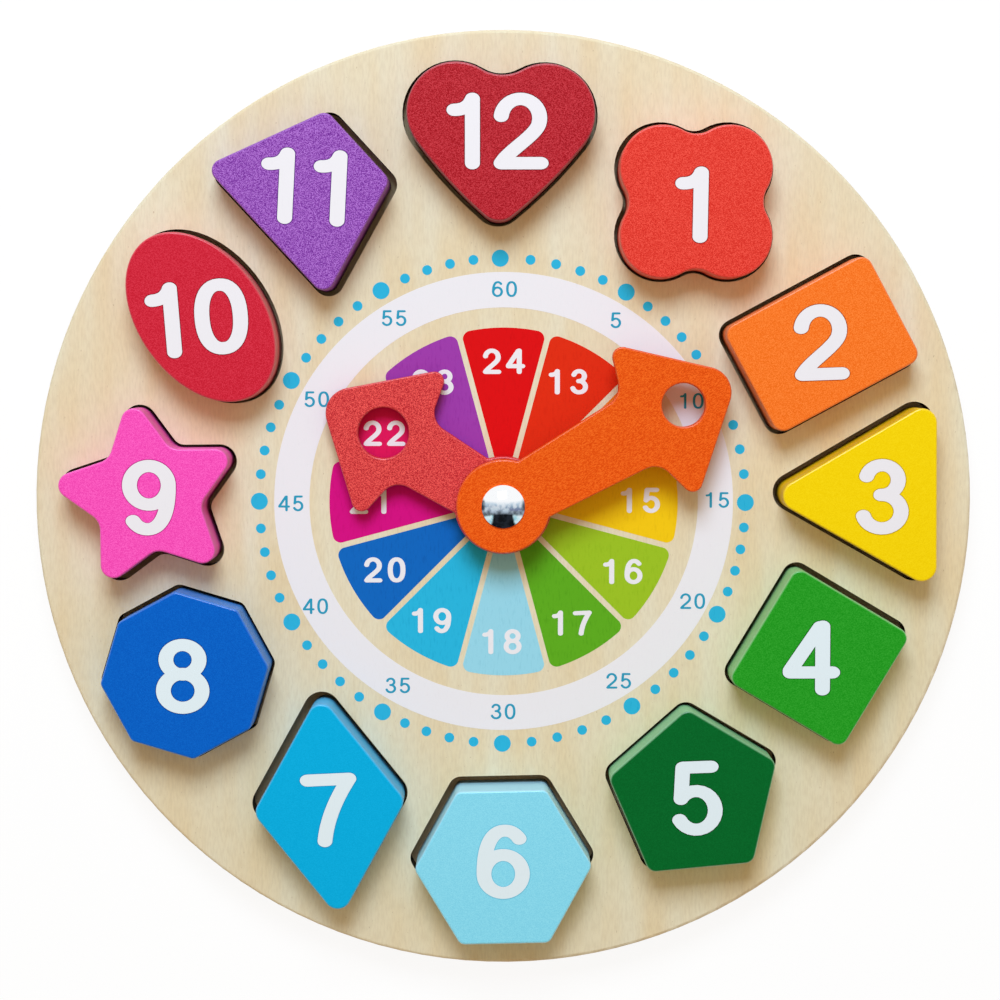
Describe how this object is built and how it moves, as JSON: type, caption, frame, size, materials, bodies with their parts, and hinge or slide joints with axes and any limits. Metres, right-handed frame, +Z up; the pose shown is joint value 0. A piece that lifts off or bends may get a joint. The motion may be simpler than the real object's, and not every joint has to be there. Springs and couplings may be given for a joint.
{
  "type": "teaching clock",
  "caption": "Round plywood teaching clock with loose coloured number blocks in cut-outs, a printed dial and two hands turned by hand on one centre bolt.",
  "frame": {"origin": "centre of the round board on its flat underside, which rests on the table", "axes": "+Z up through the face, square to the board; +Y towards 12 o'clock; +X towards 3 o'clock"},
  "size_m": [0.22, 0.22, 0.0218],
  "materials": {
    "birch_plywood": "sanded, clear satin lacquer",
    "back_plywood": "sanded, unfinished",
    "paint_coral": "satin sprayed paint on plywood",
    "paint_tangerine": "thin satin sprayed paint on plywood",
    "bolt_chrome": "polished",
    "nut_steel": "zinc plated",
    "washer_nylon": "natural nylon",
    "paint_vermilion": "satin sprayed paint on solid wood",
    "paint_orange": "satin sprayed paint on solid wood",
    "paint_yellow": "satin sprayed paint on solid wood",
    "paint_leaf_green": "satin sprayed paint on solid wood",
    "paint_dark_green": "satin sprayed paint on solid wood",
    "paint_pale_blue": "satin sprayed paint on solid wood",
    "paint_cyan": "satin sprayed paint on solid wood",
    "paint_blue": "satin sprayed paint on solid wood",
    "paint_pink": "satin sprayed paint on solid wood",
    "paint_red": "satin sprayed paint on solid wood",
    "paint_purple": "satin sprayed paint on solid wood",
    "paint_crimson": "satin sprayed paint on solid wood"
  },
  "bodies": {
    "clock_board": {"face_board": "birch_plywood", "back_board": "back_plywood", "lower_washer": "washer_nylon", "middle_washer": "washer_nylon", "hand_bolt": "bolt_chrome", "barrel_nut": "nut_steel"},
    "hour_hand": {"hour_hand": "paint_coral"},
    "minute_hand": {"minute_hand": "paint_tangerine"},
    "block_01": {"block_01_quatrefoil": "paint_vermilion"},
    "block_02": {"block_02_rectangle": "paint_orange"},
    "block_03": {"block_03_triangle": "paint_yellow"},
    "block_04": {"block_04_square": "paint_leaf_green"},
    "block_05": {"block_05_pentagon": "paint_dark_green"},
    "block_06": {"block_06_hexagon": "paint_pale_blue"},
    "block_07": {"block_07_rhombus": "paint_cyan"},
    "block_08": {"block_08_octagon": "paint_blue"},
    "block_09": {"block_09_star": "paint_pink"},
    "block_10": {"block_10_oval": "paint_red"},
    "block_11": {"block_11_trapezoid": "paint_purple"},
    "block_12": {"block_12_heart": "paint_crimson"}
  },
  "joints": [
    {"name": "hour_turn", "type": "hinge", "parent": "clock_board", "child": "hour_hand", "pos_m": [0, -0.0008, 0.0128], "axis": [0, 0, -1], "continuous": true},
    {"name": "minute_turn", "type": "hinge", "parent": "clock_board", "child": "minute_hand", "pos_m": [0, -0.0008, 0.0176], "axis": [0, 0, -1], "continuous": true},
    {"name": "block_01_lift", "type": "slide", "parent": "clock_board", "child": "block_01", "axis": [0, 0, 1], "range_m": [0, 0.03]},
    {"name": "block_02_lift", "type": "slide", "parent": "clock_board", "child": "block_02", "axis": [0, 0, 1], "range_m": [0, 0.03]},
    {"name": "block_03_lift", "type": "slide", "parent": "clock_board", "child": "block_03", "axis": [0, 0, 1], "range_m": [0, 0.03]},
    {"name": "block_04_lift", "type": "slide", "parent": "clock_board", "child": "block_04", "axis": [0, 0, 1], "range_m": [0, 0.03]},
    {"name": "block_05_lift", "type": "slide", "parent": "clock_board", "child": "block_05", "axis": [0, 0, 1], "range_m": [0, 0.03]},
    {"name": "block_06_lift", "type": "slide", "parent": "clock_board", "child": "block_06", "axis": [0, 0, 1], "range_m": [0, 0.03]},
    {"name": "block_07_lift", "type": "slide", "parent": "clock_board", "child": "block_07", "axis": [0, 0, 1], "range_m": [0, 0.03]},
    {"name": "block_08_lift", "type": "slide", "parent": "clock_board", "child": "block_08", "axis": [0, 0, 1], "range_m": [0, 0.03]},
    {"name": "block_09_lift", "type": "slide", "parent": "clock_board", "child": "block_09", "axis": [0, 0, 1], "range_m": [0, 0.03]},
    {"name": "block_10_lift", "type": "slide", "parent": "clock_board", "child": "block_10", "axis": [0, 0, 1], "range_m": [0, 0.03]},
    {"name": "block_11_lift", "type": "slide", "parent": "clock_board", "child": "block_11", "axis": [0, 0, 1], "range_m": [0, 0.03]},
    {"name": "block_12_lift", "type": "slide", "parent": "clock_board", "child": "block_12", "axis": [0, 0, 1], "range_m": [0, 0.03]}
  ]
}
